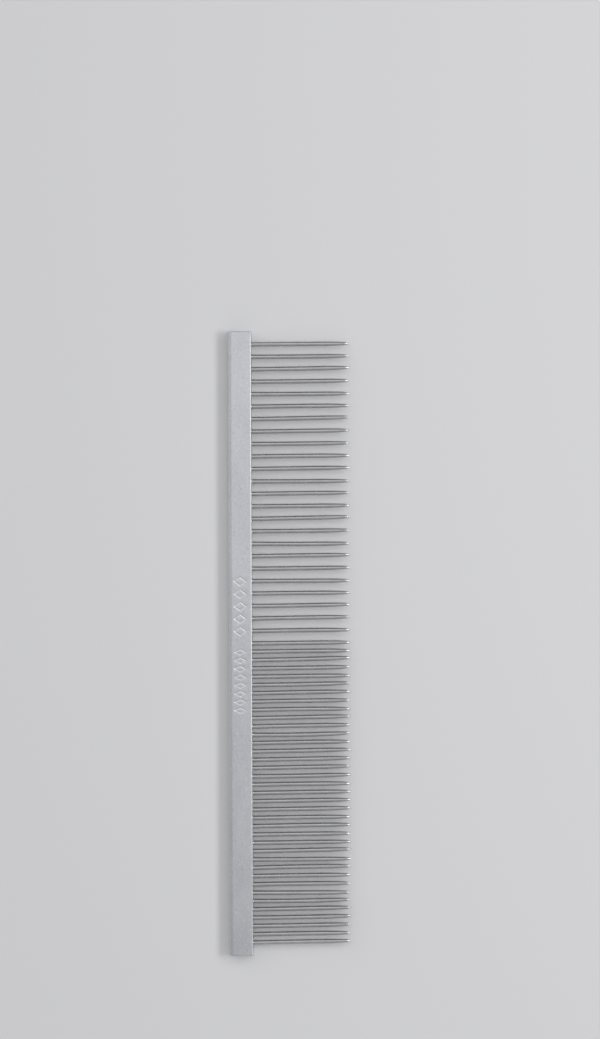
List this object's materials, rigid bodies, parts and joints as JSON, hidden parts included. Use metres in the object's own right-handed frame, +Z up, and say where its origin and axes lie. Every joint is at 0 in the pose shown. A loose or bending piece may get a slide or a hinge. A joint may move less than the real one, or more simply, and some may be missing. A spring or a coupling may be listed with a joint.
{
  "type": "grooming comb",
  "caption": "Straight steel comb for a pet's coat: a slim bar spine with one row of round pointed wire teeth, widely spaced over one half and closer together over the other.",
  "frame": {"origin": "centre of the broad face of the spine that the comb lies on", "axes": "+X from the spine towards the tooth tips, +Y along the spine towards the coarse end, +Z up through the spine's thickness, out of the marked face"},
  "size_m": [0.0373, 0.1906, 0.0048],
  "materials": {
    "satin_spine": "satin nickel-chrome plate over a bead-blasted steel bar",
    "chrome_tooth": "polished bright plate over drawn steel wire"
  },
  "bodies": {
    "root": {"spine": "satin_spine", "end_and_middle_teeth": "chrome_tooth", "coarse_tooth_01": "chrome_tooth", "coarse_tooth_02": "chrome_tooth", "coarse_tooth_03": "chrome_tooth", "coarse_tooth_04": "chrome_tooth", "coarse_tooth_05": "chrome_tooth", "coarse_tooth_06": "chrome_tooth", "coarse_tooth_07": "chrome_tooth", "coarse_tooth_08": "chrome_tooth", "coarse_tooth_09": "chrome_tooth", "coarse_tooth_10": "chrome_tooth", "coarse_tooth_11": "chrome_tooth", "coarse_tooth_12": "chrome_tooth", "coarse_tooth_13": "chrome_tooth", "coarse_tooth_14": "chrome_tooth", "coarse_tooth_15": "chrome_tooth", "coarse_tooth_16": "chrome_tooth", "coarse_tooth_17": "chrome_tooth", "coarse_tooth_18": "chrome_tooth", "coarse_tooth_19": "chrome_tooth", "coarse_tooth_20": "chrome_tooth", "coarse_tooth_21": "chrome_tooth", "coarse_tooth_22": "chrome_tooth", "coarse_tooth_23": "chrome_tooth", "medium_tooth_01": "chrome_tooth", "medium_tooth_02": "chrome_tooth", "medium_tooth_03": "chrome_tooth", "medium_tooth_04": "chrome_tooth", "medium_tooth_05": "chrome_tooth", "medium_tooth_06": "chrome_tooth", "medium_tooth_07": "chrome_tooth", "medium_tooth_08": "chrome_tooth", "medium_tooth_09": "chrome_tooth", "medium_tooth_10": "chrome_tooth", "medium_tooth_11": "chrome_tooth", "medium_tooth_12": "chrome_tooth", "medium_tooth_13": "chrome_tooth", "medium_tooth_14": "chrome_tooth", "medium_tooth_15": "chrome_tooth", "medium_tooth_16": "chrome_tooth", "medium_tooth_17": "chrome_tooth", "medium_tooth_18": "chrome_tooth", "medium_tooth_19": "chrome_tooth", "medium_tooth_20": "chrome_tooth", "medium_tooth_21": "chrome_tooth", "medium_tooth_22": "chrome_tooth", "medium_tooth_23": "chrome_tooth", "medium_tooth_24": "chrome_tooth", "medium_tooth_25": "chrome_tooth", "medium_tooth_26": "chrome_tooth", "medium_tooth_27": "chrome_tooth", "medium_tooth_28": "chrome_tooth", "medium_tooth_29": "chrome_tooth", "medium_tooth_30": "chrome_tooth", "medium_tooth_31": "chrome_tooth", "medium_tooth_32": "chrome_tooth", "medium_tooth_33": "chrome_tooth", "medium_tooth_34": "chrome_tooth", "medium_tooth_35": "chrome_tooth"}
  },
  "joints": []
}
